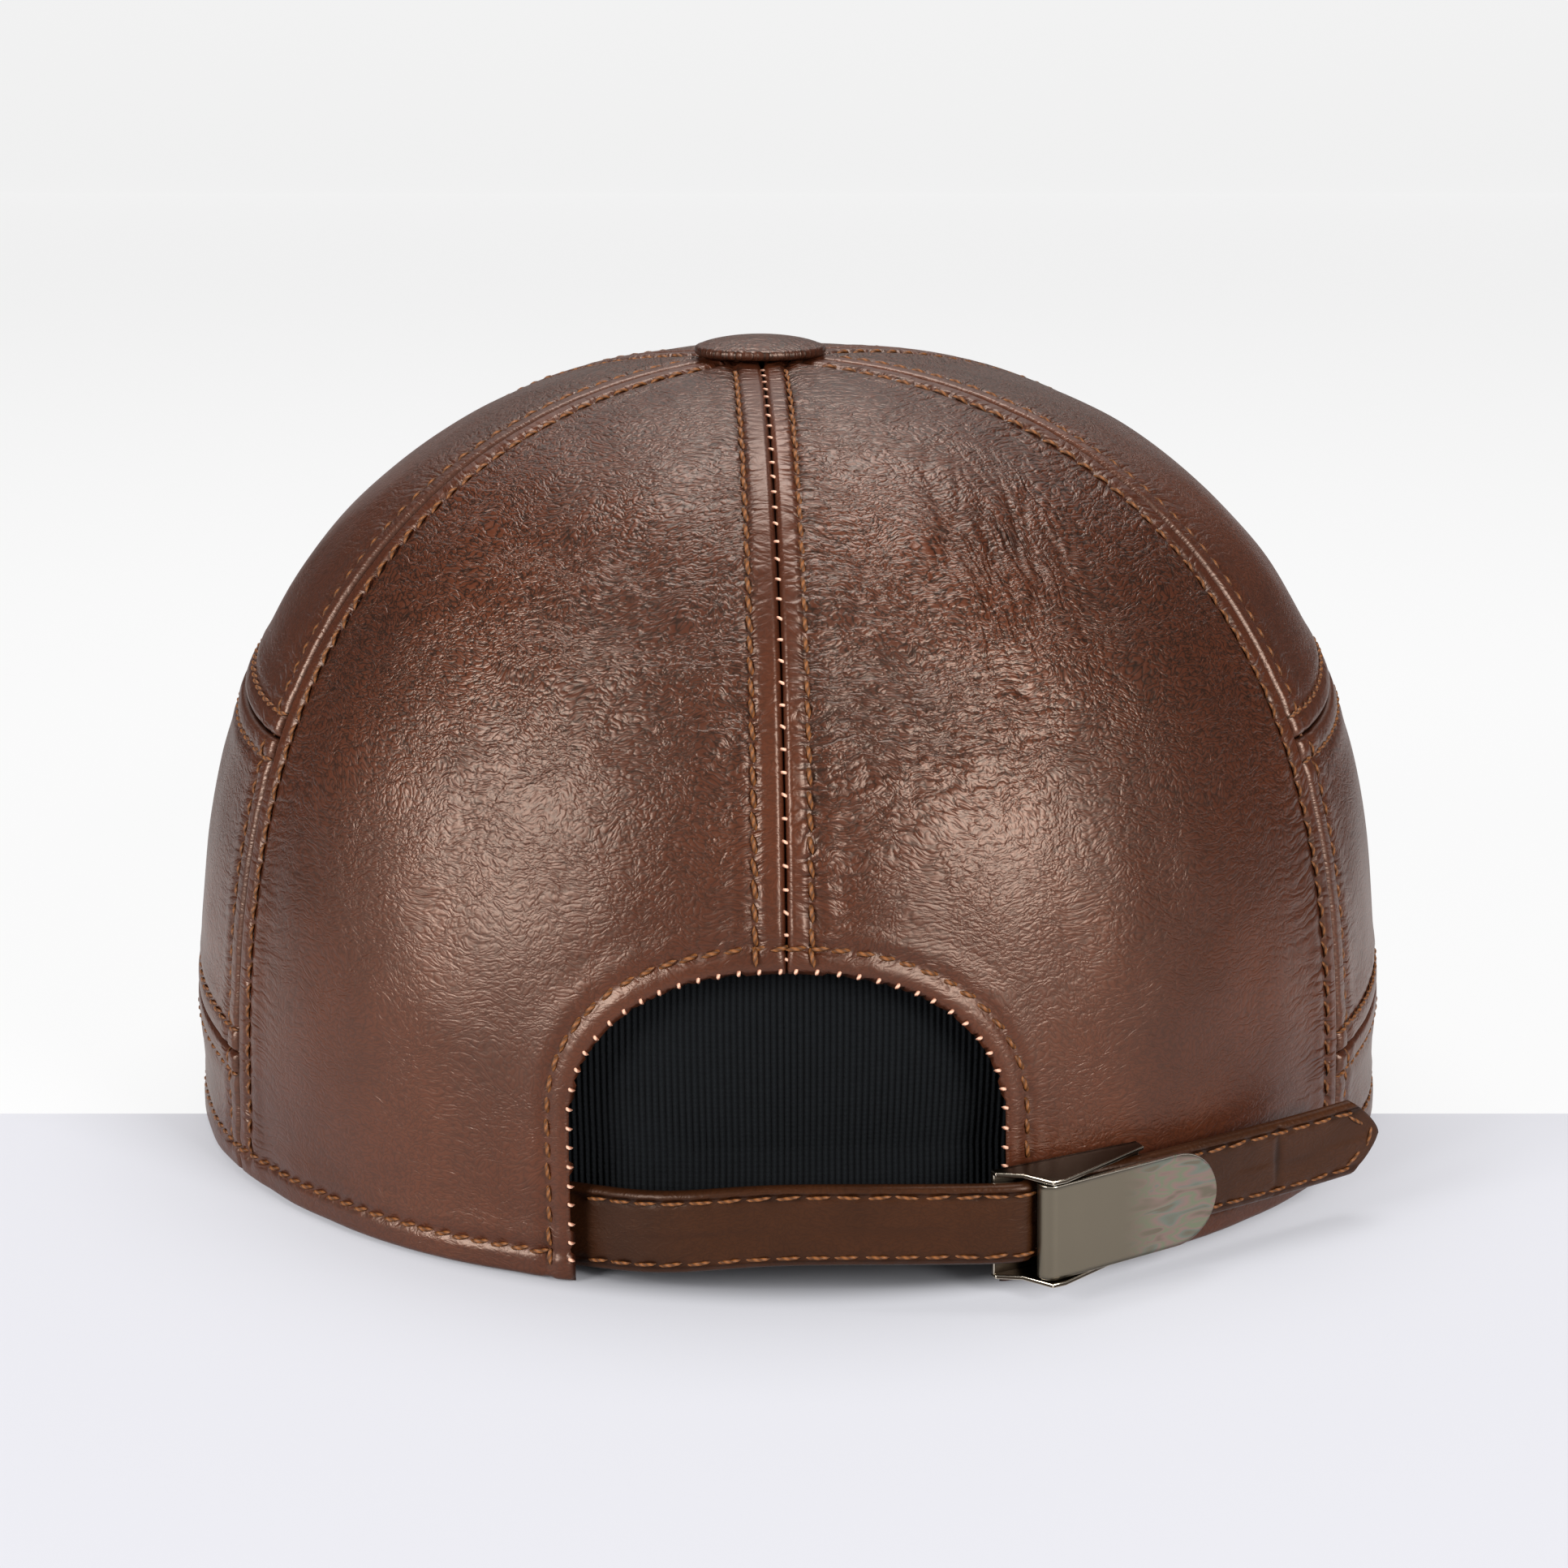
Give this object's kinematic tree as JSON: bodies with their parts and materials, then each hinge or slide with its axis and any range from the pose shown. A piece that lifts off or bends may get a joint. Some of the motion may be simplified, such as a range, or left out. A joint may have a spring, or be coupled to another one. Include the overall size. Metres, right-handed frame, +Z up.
{
  "type": "leather baseball cap",
  "caption": "Leather baseball cap with sewn crown gores, a curved peak, a covered top button and a half-moon back opening with a knit panel, strap and clip buckle.",
  "frame": {"origin": "centre of the cap's plan, peak included, on the surface that the cap rests on", "axes": "+Z up, +Y forward along the peak, -Y the back with the strap, +X the wearer's right"},
  "size_m": [0.189, 0.2653, 0.1216],
  "materials": {
    "leather": "semi-gloss full-grain cowhide, brown",
    "knit": "black ribbed knit",
    "buckle_metal": "satin gunmetal plating"
  },
  "bodies": {
    "cap": {"back_panel_left": "leather", "back_panel_right": "leather", "side_band_left": "leather", "side_band_right": "leather", "side_panel_left": "leather", "side_panel_right": "leather", "side_crown_left": "leather", "side_crown_right": "leather", "front_panel_left": "leather", "front_panel_right": "leather", "peak": "leather", "top_button": "leather", "knit_panel": "knit", "strap": "leather", "buckle_tab": "leather", "buckle_frame": "buckle_metal"},
    "lever": {"buckle_lever": "buckle_metal"}
  },
  "joints": [
    {"name": "lever_hinge", "type": "hinge", "parent": "cap", "child": "lever", "pos_m": [0.03534, -0.13103, 0.01057], "axis": [0.0206, 0.0095, -0.9997], "range_deg": [0, 110]}
  ]
}
